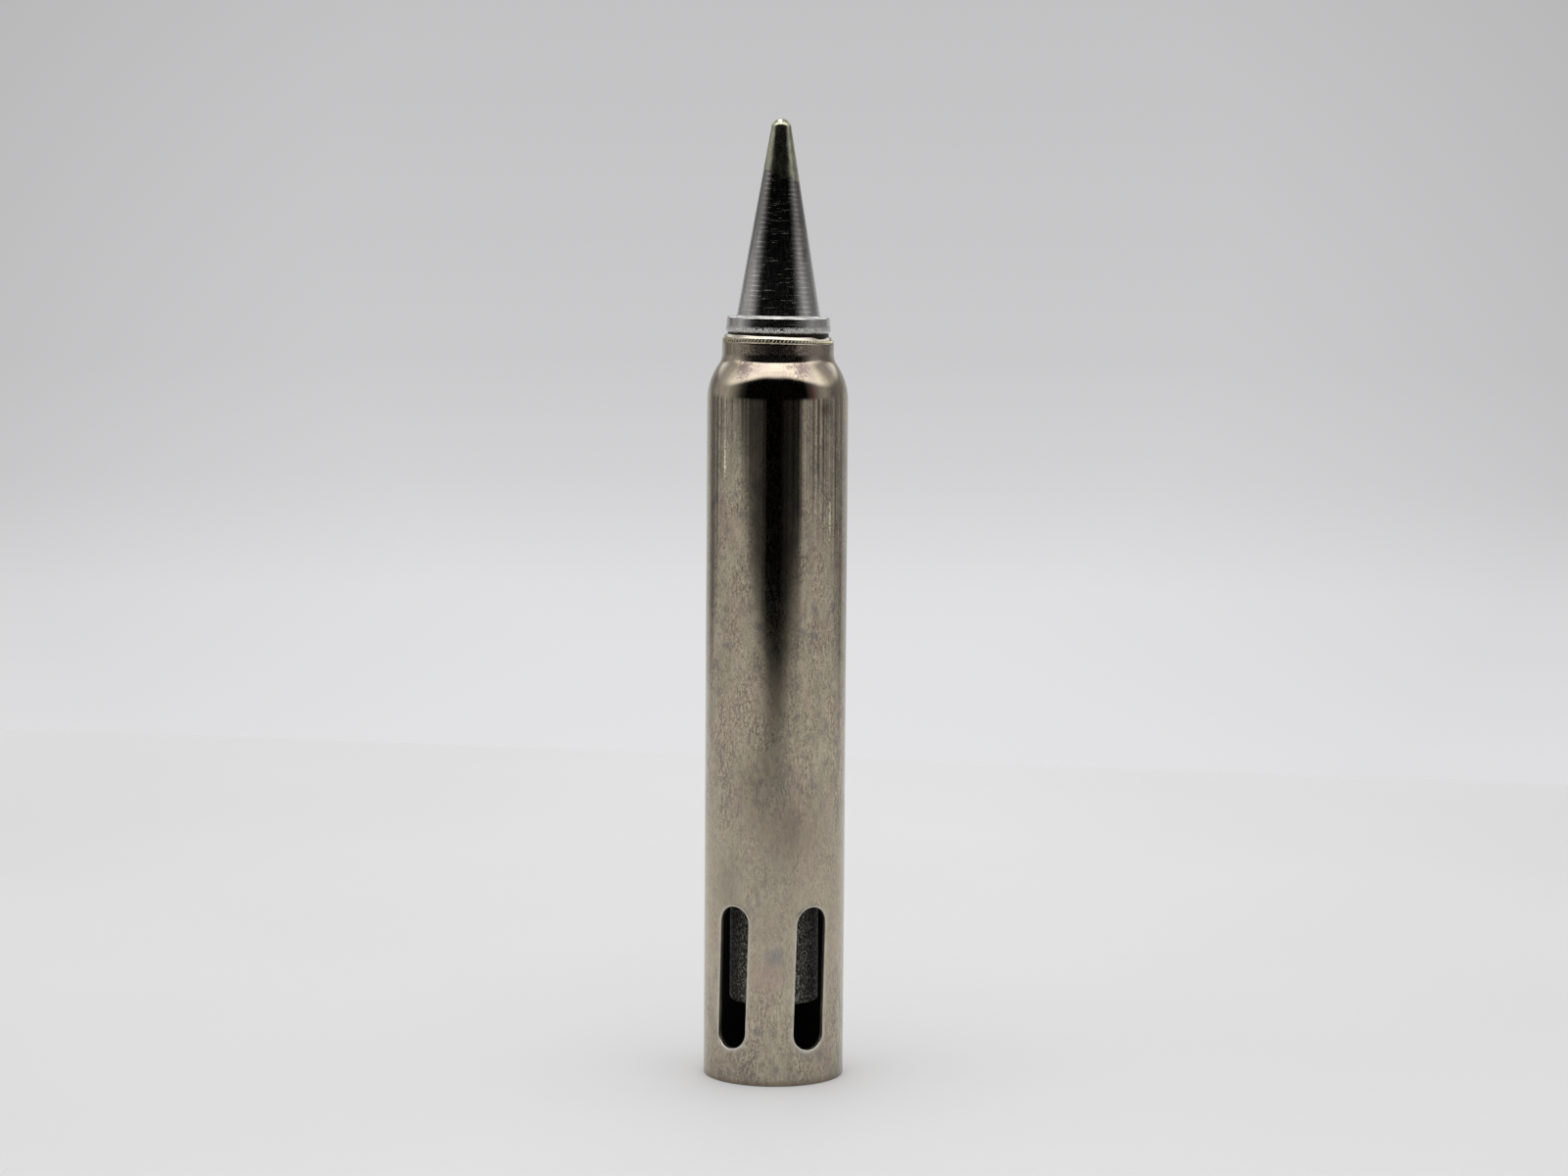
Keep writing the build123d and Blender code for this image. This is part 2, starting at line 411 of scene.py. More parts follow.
torn = {
    "light": (0.56, 0.52, 0.37), "dark": (0.26, 0.23, 0.15), "lightFrom": 0.60, "roughness": (0.32, 0.32),
    "grain": (0.06, 0.06, 0.06), "detail": 2.0, "distortion": 0.0, "relief": 0.004,
}
platedIron = {
    "light": (0.30, 0.30, 0.30), "dark": (0.16, 0.16, 0.16), "lightFrom": 0.65, "roughness": (0.4, 0.6),
    "grain": (0.3, 0.3, 0.3), "detail": 3.0, "distortion": 0.0, "relief": 0.004,
}
brazeAlloy = {
    "light": (0.66, 0.52, 0.30), "dark": (0.32, 0.25, 0.15), "lightFrom": 0.65, "roughness": (0.28, 0.5),
    "grain": (0.4, 0.4, 0.15), "detail": 3.0, "distortion": 0.6, "relief": 0.01,
}

print("finishes")
sleeveFinish = drawnSteel()
tornFinish = plainFinish("tornSteel", torn)
chromeFinish = turnedChrome()
solderFinish = wettedSolder()
tubeFinish = oxidisedSteel()
copperFinish = bareCopper()
ironFinish = plainFinish("platedIron", platedIron)
brazeFinish = plainFinish("brazeAlloy", brazeAlloy)

# the outer sleeve is one closed wall with five deburred vent slots and a tilted, drawn-in lip
sleeve = {
    "radius": sleeveHigh.x,
    "top": sleeveHigh.z,
    "wall": 0.30 * mm,
    "mouthRound": 0.05 * mm,
    "shoulderRadius": 3.54 * mm,
    "neckRadius": 3.14 * mm,
    "neckHeight": 1.42 * mm,
    "flareHeight": 0.42 * mm,
    "flareDepth": 0.065 * mm,
    "flareBelow": 0.50 * mm,
    "rootRound": 0.05 * mm,
    "lipDrop": 0.05 * mm,
    "lipTilt": 0.08 * mm,
    "lipRound": 0.045 * mm,
    "drawnInLength": 0.50 * mm,
    "drawnInRound": 0.725 * mm,
    "groovePlace": 0.30 * mm,
    "grooveWidth": 0.095 * mm,
    "grooveDepth": 0.045 * mm,
    "nickAngle": radians(-33),
    "nickWidth": radians(11),
    "nickDepth": 0.09 * mm,
    "nickFade": 0.45 * mm,
    "nickBottom": 0.55 * mm,
    "lipWaver": 0.02 * mm,
    "lipWearAndHighlight": 0.30 * mm,
    "dentSize": 4.2 * mm,
    "dentDepth": 0.010 * mm,
}
slot = {
    "count": 5,
    "angles": [radians(angle) for angle in (18, 90, 162, 235.8, 303.6)],
    "lean": tan(radians(1.5)),
    "width": 1.87 * mm,
    "length": 8.10 * mm,
    "bottom": 2.00 * mm,
    "burrHeight": 0.018 * mm,
    "burrWaves": 1.6,  # per millimetre
    "heavyBurr": 0.8,
    "heavyBurrBelow": 1.2 * mm,
    "patchHalfAngle": radians(22),
    "patchMargin": 0.80 * mm,
    "stepsAcross": 18,
    "stepsBetween": 12,
    "stepsCorner": 4,
    "stepsStraight": 20,
}
neckBase = sleeve["top"] - sleeve["neckHeight"]
shoulderDrop = sleeve["radius"] - sleeve["neckRadius"]
shoulderSweep = acos(1 - shoulderDrop / sleeve["shoulderRadius"])
shoulderBase = neckBase - sleeve["shoulderRadius"] * sin(shoulderSweep)


def softMax(first, second, round):
    overlap = max(round - abs(first - second), 0.0) / round
    return max(first, second) + overlap * overlap * round / 4


def sleeveRadiusAt(z):
    # outside radius: straight body, rolled shoulder, flared neck root, then the neck drawn in at the lip
    rise = z - shoulderBase
    if rise <= 0:
        return sleeve["radius"]
    arc = sleeve["shoulderRadius"]
    shoulder = sleeve["radius"] - arc + sqrt(max(arc * arc - rise * rise, 0.0))
    below, reach = sleeve["flareBelow"], sleeve["flareHeight"] + sleeve["flareBelow"]
    flare = max(1 - max(z - neckBase + below, 0.0) / reach, 0.0)
    neck = sleeve["neckRadius"] + sleeve["flareDepth"] * (flare * (reach / sleeve["flareHeight"])) ** 2
    up = max(z - (sleeve["top"] - sleeve["drawnInLength"]), 0.0)
    neck -= sleeve["drawnInRound"] - sqrt(sleeve["drawnInRound"] ** 2 - up * up)
    groove = (z - (sleeve["top"] - sleeve["groovePlace"])) / sleeve["grooveWidth"]
    neck -= sleeve["grooveDepth"] * exp(-groove * groove)
    return softMax(shoulder, neck, sleeve["rootRound"])


def spacing(first, last, steps):
    return [first + (last - first) * step / steps for step in range(steps + 1)]


def sleeveRings():
    # (radius, height, row): rings from the mouth's outside edge over the lip and down the bore
    radius, top, wall, bevel = sleeve["radius"], sleeve["top"], sleeve["wall"], sleeve["mouthRound"]
    lip, bore, inside = sleeve["lipRound"], sleeve["neckRadius"] - wall, radius - wall
    slotTop = slot["bottom"] + slot["length"]
    zoneLow, zoneHigh = slot["bottom"] - slot["patchMargin"], slotTop + slot["patchMargin"]
    straightLow, straightHigh = slot["bottom"] + slot["width"] / 2, slotTop - slot["width"] / 2

    def climb(heights, steps):
        # heights between these marks, each stretch cut into its number of steps
        levels = []
        for low, high, count in zip(heights, heights[1:], steps):
            levels += spacing(low, high, count)[1:]
        return levels

    corner, straight = slot["stepsCorner"], slot["stepsStraight"]
    zone = [zoneLow] + climb((zoneLow, straightLow, straightHigh, zoneHigh), (corner, straight, corner))
    above = climb(
        (zoneHigh, shoulderBase - 0.3 * mm, neckBase - 0.2 * mm, neckBase + 0.1 * mm,
         neckBase + 0.45 * mm, top - 0.70 * mm, top - lip),
        (34, 26, 14, 8, 3, 32),
    )
    down = climb((top - lip, neckBase + 0.2 * mm, shoulderBase, zoneHigh), (3, 12, 10))[:-1]
    quarter = [radians(angle) for angle in (0, 30, 60, 90)]
    rings = [(radius - bevel * (1 - sin(t)), bevel * (1 - cos(t)), None) for t in quarter]
    rings += [(radius, zoneLow * share, None) for share in (0.35, 0.7)]
    outerStart = len(rings)
    rings += [(radius, z, row) for row, z in enumerate(zone)]
    rings += [(sleeveRadiusAt(z), z, None) for z in above]
    lipOuter = sleeveRadiusAt(top - lip)
    for turn in [share * pi / 2 for share in (0.3, 0.65, 0.9)]:
        rings.append((lipOuter - lip * (1 - cos(turn)), top - lip * (1 - sin(turn)), None))
    rings.append(((lipOuter + bore) / 2, top, None))
    for turn in [share * pi / 2 for share in (0.1, 0.5, 1.0)]:
        rings.append((bore + lip * (1 - sin(turn)), top - lip * (1 - cos(turn)), None))
    rings += [(bore if z > neckBase else max(sleeveRadiusAt(z) - wall, bore), z, None) for z in down]
    innerStart = len(rings)
    rings += [(inside, z, len(zone) - 1 - row) for row, z in enumerate(reversed(zone))]
    rings += [(inside, zoneLow * share, None) for share in (0.7, 0.35)]
    for turn in reversed(quarter):
        rings.append((inside + bevel * (1 - sin(turn)), bevel * (1 - cos(turn)), None))
    return rings, outerStart, innerStart, len(zone)


def sleevePoint(radius, angle, z):
    # gentle dents in the drawn wall, the tilted lip and its nick
    x, y = cos(angle), sin(angle)
    spot = Vector((x * sleeve["radius"], y * sleeve["radius"], z * 0.6)) / sleeve["dentSize"]
    radius += sleeve["dentDepth"] * noise.noise(spot) * smooth(z / (3 * mm))
    lift = smooth((z - neckBase - 0.2 * mm) / (sleeve["neckHeight"] - 0.2 * mm))
    z -= lift * (sleeve["lipDrop"] + sleeve["lipTilt"] * x)
    z += lift * sleeve["lipWaver"] * noise.noise(Vector((x * 2.5, y * 2.5, 4.0)))
    turn = (angle - sleeve["nickAngle"] + pi) % (2 * pi) - pi
    edge = smooth((z - (sleeve["top"] - sleeve["nickBottom"])) / sleeve["nickFade"])
    z -= edge * sleeve["nickDepth"] * exp(-((turn / sleeve["nickWidth"]) ** 4))
    return (radius * x, radius * y, z)


def slotOutline(offset):
    # points of a stadium that is offset wider than the slot, in the order of its patch's boundary
    radius = slot["width"] / 2 + offset
    lowCentre = slot["bottom"] + slot["width"] / 2
    highCentre = slot["bottom"] + slot["length"] - slot["width"] / 2
    across, corner, straight = slot["stepsAcross"], slot["stepsCorner"], slot["stepsStraight"]

    def onArc(centre, first, last, steps):
        turns = [radians(first + (last - first) * step / steps) for step in range(steps)]
        return [(radius * cos(turn), centre + radius * sin(turn)) for turn in turns]

    points = onArc(lowCentre, 225, 315, across) + onArc(lowCentre, 315, 360, corner)
    points += [(radius, z) for z in spacing(lowCentre, highCentre, straight)[:-1]]
    points += onArc(highCentre, 0, 45, corner) + onArc(highCentre, 45, 135, across)
    points += onArc(highCentre, 135, 180, corner)
    points += [(-radius, z) for z in spacing(highCentre, lowCentre, straight)[:-1]]
    points += onArc(lowCentre, 180, 225, corner)
    middleZ = (lowCentre + highCentre) / 2
    return [(side + (z - middleZ) * slot["lean"], z) for side, z in points]


# distance from the slot's edge and depth below the outside in millimetres, and share of the burr
slotEdge = [
    (0.34, 0.0, 0.0), (0.20, 0.0, 0.15), (0.12, 0.0, 0.6), (0.075, 0.0, 1.0), (0.04, 0.0, 1.0),
    (0.018, 0.006, 0.7), (0.005, 0.022, 0.3), (0.0, 0.05, 0.0), (0.0, 0.14, 0.0), (0.0, 0.23, 0.0),
    (0.006, 0.275, 0.0), (0.03, 0.298, 0.0), (0.09, 0.30, 0.0), (0.34, 0.30, 0.0),
]


def weave(faces, first, second, flip=False):
    # a strip of four-sided faces between two closed loops of points
    for step in range(len(first)):
        near, far = step, (step + 1) % len(first)
        if flip:
            near, far = far, near
        faces.append([first[near], first[far], second[far], second[near]])


def drawSleeve():
    rings, outerStart, innerStart, zoneRows = sleeveRings()
    across, between = slot["stepsAcross"], slot["stepsBetween"]
    perSlot = across + between
    columns = slot["count"] * perSlot
    half = slot["patchHalfAngle"]

    def columnAngle(column):
        number, step = divmod(column, perSlot)
        centre = slot["angles"][number]
        if step <= across:
            return centre - half + 2 * half * step / across
        after = slot["angles"][(number + 1) % slot["count"]]
        gap = (after - centre) % (2 * pi) - 2 * half
        return centre + half + gap * (step - across) / between

    points, marking, faces, index = [], [], [], {}

    def addPoint(radius, angle, z, wearAndPaintedLight=0.0):
        points.append(sleevePoint(radius, angle, z))
        marking.append(wearAndPaintedLight)
        return len(points) - 1

    for ring, (radius, z, row) in enumerate(rings):
        partial = row is not None and 0 < row < zoneRows - 1
        for column in range(columns):
            if not (partial and 0 < column % perSlot < across):
                # the groove under the lip gets painted shade, and the lip's top is rubbed metal with a
                # painted highlight
                inGroove = (z - sleeve["top"] + sleeve["groovePlace"]) / (1.1 * sleeve["grooveWidth"])
                outside = radius > sleeve["neckRadius"] - 0.1 * mm
                wearAndPaintedLight = -exp(-inGroove * inGroove) if outside else 0.0
                if z > sleeve["top"] - sleeve["lipWearAndHighlight"]:
                    wearAndPaintedLight = 0.45
                index[ring, column] = addPoint(radius, columnAngle(column), z, wearAndPaintedLight)
    for ring in range(len(rings)):
        after = (ring + 1) % len(rings)
        inZone = rings[ring][2] is not None and rings[after][2] is not None
        for column in range(columns):
            if inZone and column % perSlot < across:
                continue
            right = (column + 1) % columns
            corners = ((ring, column), (ring, right), (after, right), (after, column))
            faces.append([index[corner] for corner in corners])

    def boundary(ringOf, first):
        last = first + across
        top = zoneRows - 1
        loop = [(ringOf(0), first + step) for step in range(across)]
        loop += [(ringOf(row), last) for row in range(top)]
        loop += [(ringOf(top), last - step) for step in range(across)]
        loop += [(ringOf(top - row), first) for row in range(top)]
        return [index[ring, column % columns] for ring, column in loop]

    for number in range(slot["count"]):
        centre = slot["angles"][number]
        outside = boundary(lambda row: outerStart + row, perSlot * number)
        inside = boundary(lambda row: innerStart + zoneRows - 1 - row, perSlot * number)
        loops = [outside]

        def blendLoop(rim, outline, radius, share):
            loop = []
            for corner, (side, z) in zip(rim, outline):
                x, y, rimZ = points[corner]
                rimAngle = (atan2(y, x) - centre + pi) % (2 * pi) - pi
                angle = rimAngle + (asin(side / radius) - rimAngle) * share
                loop.append(addPoint(radius, centre + angle, rimZ + (z - rimZ) * share))
            return loop

        widest = slotOutline(slotEdge[0][0] * mm)
        for share in (0.35, 0.7):
            loops.append(blendLoop(outside, widest, sleeve["radius"], share))
        for distance, depth, burr in slotEdge:
            loop = []
            for side, z in slotOutline(distance * mm):
                waves, heavy = slot["burrWaves"], slot["heavyBurrBelow"]
                spot = Vector((side / mm * waves + 9 * number, z / mm * waves, 2.0))
                ragged = 0.5 + 0.9 * noise.noise(spot)
                ragged += slot["heavyBurr"] * smooth((slot["bottom"] + heavy - z) / heavy)
                ragged = max(ragged, 0.1)
                radius = sleeve["radius"] - depth * mm + burr * slot["burrHeight"] * ragged
                # the slot rims are rubbed metal with a painted highlight along them
                wearAndPaintedLight = min(burr * (0.35 + 0.5 * ragged), 1.0) if depth < 0.03 else 0.0
                loop.append(addPoint(radius, centre + asin(side / radius), z, wearAndPaintedLight))
            loops.append(loop)
        for share in (0.7, 0.35):
            loops.append(blendLoop(inside, widest, sleeve["radius"] - sleeve["wall"], share))
        loops.append(inside)
        for first, second in zip(loops, loops[1:]):
            weave(faces, first, second)
    piece = meshPiece("drawnSleeve", points, faces, sleeveFinish, marking)
    settle(piece, "sleeve_steel", "outer_sleeve")


print("sleeve")
drawSleeve()


# slanted ridges that the forming roller left in the groove below the lip
chatter = {
    "Count": 92,
    "Ring Radius": 3.074 * mm,
    "Height": 41.708 * mm,
    "Tilt": 0.058 * mm,
    "Slant": radians(-38),
    "Ridge Size": (0.052 * mm, 0.042 * mm, 0.155 * mm),
    "Seed": 4,
}


def newTree(name, inputs):
    # inputs gives each socket's kind and its default, or None
    tree = bpy.data.node_groups.new(name, "GeometryNodeTree")
    for label, (kind, value) in inputs.items():
        socket = tree.interface.new_socket(label, in_out="INPUT", socket_type="NodeSocket" + kind)
        if value is not None:
            socket.default_value = value
    tree.interface.new_socket("Geometry", in_out="OUTPUT", socket_type="NodeSocketGeometry")
    return tree, newNode(tree, "NodeGroupInput").outputs


def closeTree(tree, geometry, finish):
    real = firstOutput(tree, "GeometryNodeRealizeInstances", {"Geometry": geometry})
    soft = firstOutput(tree, "GeometryNodeSetShadeSmooth", {"Geometry": real})
    coated = firstOutput(tree, "GeometryNodeSetMaterial", {"Geometry": soft, "Material": finish})
    newNode(tree, "NodeGroupOutput", {"Geometry": coated})
    return tree


def chatterRing():
    kinds = {"Count": "Int", "Ridge Size": "Vector", "Seed": "Int", "Finish": "Material"}
    labels = ("Count", "Ring Radius", "Height", "Tilt", "Slant", "Ridge Size", "Seed", "Finish")
    sockets = {label: (kinds.get(label, "Float"), None) for label in labels}
    tree, given = newTree("chatterRing", sockets)
    circle = {"Vertices": given["Count"], "Radius": given["Ring Radius"]}
    ring = firstOutput(tree, "GeometryNodeMeshCircle", circle)
    side = coordinates(tree, newNode(tree, "GeometryNodeInputPosition").outputs[0])
    dip = times(tree, calc(tree, "DIVIDE", side["X"], given["Ring Radius"]), given["Tilt"])
    level = joined(tree, z=calc(tree, "SUBTRACT", given["Height"], dip))
    lifted = firstOutput(tree, "GeometryNodeSetPosition", {"Geometry": ring, "Offset": level})
    outward = joined(tree, side["X"], side["Y"])
    facing = firstOutput(
        tree, "FunctionNodeAlignRotationToVector", {"Vector": outward}, axis="X", pivot_axis="Z"
    )
    about = {"Axis": (1.0, 0.0, 0.0), "Angle": given["Slant"]}
    lean = firstOutput(tree, "FunctionNodeAxisAngleToRotation", about)
    turns = {"Rotation": facing, "Rotate By": lean}
    slanted = firstOutput(tree, "FunctionNodeRotateRotation", turns, rotation_space="LOCAL")
    ridge = firstOutput(tree, "GeometryNodeMeshIcoSphere", {"Radius": 1.0, "Subdivisions": 2})
    limits = {2: 0.70, 3: 1.05, "Seed": given["Seed"]}  # the smallest and the largest ridge
    vary = newNode(tree, "FunctionNodeRandomValue", limits, data_type="FLOAT").outputs[1]
    scaled = {0: given["Ridge Size"], "Scale": vary}
    size = firstOutput(tree, "ShaderNodeVectorMath", scaled, operation="SCALE")
    copies = {"Points": lifted, "Instance": ridge, "Rotation": slanted, "Scale": size}
    return closeTree(tree, firstOutput(tree, "GeometryNodeInstanceOnPoints", copies), given["Finish"])


def growPiece(name, blankMesh, tree, values):
    # runs a node tree on a blank mesh and keeps only the plain mesh it makes
    blank = bpy.data.objects.new(name + "Blank", blankMesh)
    bpy.context.collection.objects.link(blank)
    modifier = blank.modifiers.new(tree.name, "NODES")
    modifier.node_group = tree
    sockets = {item.name: item.identifier for item in tree.interface.items_tree if item.in_out == "INPUT"}
    for label, value in values.items():
        modifier[sockets[label]] = value
    graph = bpy.context.evaluated_depsgraph_get()
    mesh = bpy.data.meshes.new_from_object(blank.evaluated_get(graph))
    mesh.name = name
    bpy.data.objects.remove(blank)
    piece = bpy.data.objects.new(name, mesh)
    bpy.context.collection.objects.link(piece)
    return piece


print("chatter marks")
chatterBlank = bpy.data.meshes.new("chatterBlank")
ridges = growPiece("lipChatter", chatterBlank, chatterRing(), {**chatter, "Finish": tornFinish})
settle(ridges, "sleeve_steel", "outer_sleeve")


def turningLathe():
    # spins a profile about the axis, cuts a fine helical groove and leans the result
    tree, given = newTree("turningLathe", {
        "Profile": ("Geometry", None),
        "Segments": ("Int", 128),
        "Rows": ("Int", 200),
        "Groove Pitch": ("Float", 0.25 * mm),
        "Groove Depth": ("Float", 0.0),
        "Groove From": ("Float", 0.0),
        "Roughness Size": ("Float", 0.3 * mm),
        "Roughness Depth": ("Float", 0.0),
        "Lean": ("Float", 0.0),
        "Lean From": ("Float", 0.0),
        "Seed": ("Float", 0.0),
        "Finish": ("Material", None),
    })
    profile = firstOutput(tree, "GeometryNodeMeshToCurve", {"Mesh": given["Profile"]})
    columns = plus(tree, given["Segments"], 1.0)
    sheetInputs = {"Size X": 1.0, "Size Y": 1.0, "Vertices X": columns, "Vertices Y": given["Rows"]}
    sheet = newNode(tree, "GeometryNodeMeshGrid", sheetInputs).outputs["Mesh"]
    across = coordinates(tree, newNode(tree, "GeometryNodeInputPosition").outputs[0])
    round01 = plus(tree, across["X"], 0.5)
    along01 = plus(tree, across["Y"], 0.5)
    sample = newNode(tree, "GeometryNodeSampleCurve", {"Curves": profile, "Factor": along01}, mode="FACTOR")
    spot = coordinates(tree, sample.outputs["Position"])
    angle = times(tree, round01, 2 * pi)
    cosine, sine = calc(tree, "COSINE", angle), calc(tree, "SINE", angle)
    helix = plus(tree, calc(tree, "DIVIDE", spot["Z"], given["Groove Pitch"]), round01)
    wave = calc(tree, "SINE", times(tree, helix, 2 * pi))
    roundSpot = joined(tree, times(tree, spot["X"], cosine), times(tree, spot["X"], sine), spot["Z"])

    def bumps01(scale, detail):
        inputs = {"Vector": roundSpot, "W": given["Seed"], "Scale": scale, "Detail": detail}
        return newNode(tree, "ShaderNodeTexNoise", inputs, noise_dimensions="4D").outputs["Fac"]

    # the grooves fade in and out round the piece and stop at the flange
    onCone = calc(tree, "GREATER_THAN", spot["Z"], given["Groove From"])
    onOutside = calc(tree, "GREATER_THAN", spot["X"], 0.0)
    mask = times(tree, times(tree, onCone, onOutside), bumps01(700.0, 1.0))
    groove = times(tree, times(tree, wave, given["Groove Depth"]), mask)
    bumps = bumps01(calc(tree, "DIVIDE", 1.0, given["Roughness Size"]), 2.0)
    bump = times(tree, calc(tree, "SUBTRACT", bumps, 0.5), given["Roughness Depth"])
    offAxis = calc(tree, "GREATER_THAN", spot["X"], 0.05 * mm)
    relief = times(tree, plus(tree, groove, bump), offAxis)
    radius = plus(tree, spot["X"], relief)
    # the bit leans towards +X: it slides over with height, and dips on that side
    above = calc(tree, "SUBTRACT", spot["Z"], given["Lean From"])
    shift = times(tree, calc(tree, "MAXIMUM", above, 0.0), given["Lean"])
    bent = times(tree, spread(tree, above, -1.0 * mm, 0.0, 0.0, 1.0, True), given["Lean"])
    outX = times(tree, radius, cosine)
    outZ = calc(tree, "SUBTRACT", spot["Z"], times(tree, bent, outX))
    finalSpot = joined(tree, plus(tree, outX, shift), times(tree, radius, sine), outZ)
    spun = firstOutput(tree, "GeometryNodeSetPosition", {"Geometry": sheet, "Position": finalSpot})
    welded = firstOutput(tree, "GeometryNodeMergeByDistance", {"Geometry": spun, "Distance": 1e-7})
    return closeTree(tree, welded, given["Finish"])


lathe = turningLathe()


def turnPiece(name, profile, finish, settings, closed=True):
    # profile is a list of (radius, height) points that runs anticlockwise, seen with the axis on the left
    spots = [(radius, 0.0, z) for radius, z in profile]
    edges = [(step, step + 1) for step in range(len(spots) - 1)]
    if closed:
        edges.append((len(spots) - 1, 0))
    outline = bpy.data.meshes.new(name + "Profile")
    outline.from_pydata(spots, edges, [])
    return growPiece(name, outline, lathe, {**settings, "Finish": finish})


# what the chrome, iron, copper and solder of the bit share
bit = {
    "flangeRadius": flangeHigh.x,
    "flangeBottom": flangeLow.z,
    "flangeTop": flangeLow.z + 0.90 * mm,
    "topRound": 0.12 * mm,
    "bottomRound": 0.17 * mm,
    "smallestRound": 0.02 * mm,
    "draft": 0.05 * mm,
    "footRound": 0.05 * mm,
    "boreRadius": 2.84 * mm,
    "coneBase": 2.36 * mm,
    "pointRadius": 0.55 * mm,
    "pointCentre": tinHigh.z - 0.57 * mm,
    "chromeDepth": 0.04 * mm,
    "ironDepth": 0.25 * mm,
    "chromeTop": 51.45 * mm,
}
bitLean = {"Lean": tan(radians(0.5)), "Lean From": flangeLow.z}


def coneRadiusAt(z, inset=0.0):
    rise = bit["pointCentre"] - bit["flangeTop"]
    halfAngle = atan2(bit["coneBase"], rise)
    halfAngle -= asin(bit["pointRadius"] / hypot(bit["coneBase"], rise))
    ball = bit["pointRadius"] - inset
    tangentZ = bit["pointCentre"] + ball * sin(halfAngle)
    if z > tangentZ:
        return sqrt(max(ball * ball - (z - bit["pointCentre"]) ** 2, 0.0))
    return ball * cos(halfAngle) + (tangentZ - z) * tan(halfAngle)


def flangeSide(inset):
    # the flange from its underside to the cone's foot, with rounded corners
    bottom, top = bit["flangeBottom"] + inset, bit["flangeTop"] - inset
    rim, foot = bit["flangeRadius"] - inset, bit["footRound"]
    under = max(bit["bottomRound"] - inset, bit["smallestRound"])
    over = max(bit["topRound"] - inset, bit["smallestRound"])
    lower = [radians(angle) for angle in range(30, 91, 15)]
    upper = [radians(angle) for angle in range(0, 91, 15)]
    side = [(rim - under + under * sin(t), bottom + under - under * cos(t)) for t in lower]
    rim -= bit["draft"]
    side += [(rim - over + over * cos(t), top - over + over * sin(t)) for t in upper]
    return side + [(coneRadiusAt(top, inset) + foot, top), (coneRadiusAt(top + foot, inset), top + foot)]


def coneHeights(top, steps):
    return spacing(bit["flangeTop"] + 0.3 * mm, top, steps)


chromeTurning = {
    "Segments": 112,
    "Rows": 760,
    "Groove Depth": 0.0055 * mm,
    "Groove From": bit["flangeTop"] + 0.2 * mm,
    "Groove Pitch": 0.27 * mm,
    "Roughness Size": 0.9 * mm,
    "Roughness Depth": 0.006 * mm,
    **bitLean,
}


def turnChrome():
    deep, top = bit["chromeDepth"], bit["chromeTop"]
    profile = [(bit["boreRadius"], bit["flangeBottom"])] + flangeSide(0.0)
    profile += [(coneRadiusAt(top), top), (coneRadiusAt(top, deep), top)]
    profile += flangeSide(deep)[::-1] + [(bit["boreRadius"], bit["flangeBottom"] + deep)]
    piece = turnPiece("chromedCone", profile, chromeFinish, chromeTurning)
    settle(piece, "dark_chrome", "chrome_plating")


ironTurning = {
    "Segments": 64,
    "Rows": 300,
    "Roughness Size": 0.4 * mm,
    "Roughness Depth": 0.002 * mm,
    **bitLean,
}


def turnIron():
    deep = bit["chromeDepth"]
    inner = deep + bit["ironDepth"]
    tip = bit["pointCentre"] + bit["pointRadius"]
    outerTip, coreTip = tip - deep, tip - deep - bit["ironDepth"]
    profile = [(bit["boreRadius"], bit["flangeBottom"] + deep)] + flangeSide(deep)
    profile += [(coneRadiusAt(z, deep), z) for z in coneHeights(tip, 40) if z < outerTip]
    profile += [(0.0, outerTip), (0.0, coreTip)]
    profile += [(coneRadiusAt(z, inner), z) for z in coneHeights(coreTip, 40)[-2::-1]]
    profile += flangeSide(inner)[::-1][1:] + [(bit["boreRadius"], bit["flangeBottom"] + inner)]
    piece = turnPiece("ironShell", profile, ironFinish, ironTurning)
    settle(piece, "iron_layer", "iron_plating")


core = {"plugRadius": 2.25 * mm, "plugRound": 0.10 * mm, "stepRound": 0.05 * mm}
coreTurning = {
    "Segments": 72,
    "Rows": 320,
    "Roughness Size": 0.5 * mm,
    "Roughness Depth": 0.004 * mm,
    **bitLean,
}


def turnCore():
    inner = bit["chromeDepth"] + bit["ironDepth"]
    bottom, step, plug, body = coreLow.z, tubeHigh.z, core["plugRadius"], bit["boreRadius"]
    profile = [(0.0, bottom), (plug - core["plugRound"], bottom), (plug, bottom + core["plugRound"])]
    profile += [(plug, step), (body - core["stepRound"], step), (body, step + core["stepRound"])]
    profile += [(body, bit["flangeBottom"] + inner)] + flangeSide(inner)[1:]
    profile += [(coneRadiusAt(z, inner), z) for z in coneHeights(coreHigh.z, 30)[:-1]]
    profile.append((0.0, coreHigh.z))
    piece = turnPiece("copperHeart", profile, copperFinish, coreTurning, closed=False)
    settle(piece, "core_copper", "copper_core")


tube = {
    "bore": 2.05 * mm,
    "leadIn": 0.15 * mm,
    "rimRound": 0.06 * mm,
    "seatRadius": 2.25 * mm,
    "seatLength": 4.0 * mm,
}
tubeTurning = {"Segments": 128, "Rows": 420, "Roughness Size": 0.28 * mm, "Roughness Depth": 0.016 * mm}


def turnTube():
    outer, bore, bevel = tubeHigh.x, tube["bore"], tube["rimRound"]
    bottom, top, seatFloor = tubeLow.z, tubeHigh.z, tubeHigh.z - tube["seatLength"]
    profile = [(bore, bottom + tube["leadIn"]), (bore + tube["leadIn"], bottom), (outer - bevel, bottom)]
    profile += [(outer, bottom + bevel), (outer, top), (tube["seatRadius"], top)]
    profile += [(tube["seatRadius"], seatFloor), (bore, seatFloor)]
    piece = turnPiece("scaledTube", profile, tubeFinish, tubeTurning)
    settle(piece, "tube_steel", "heater_tube")


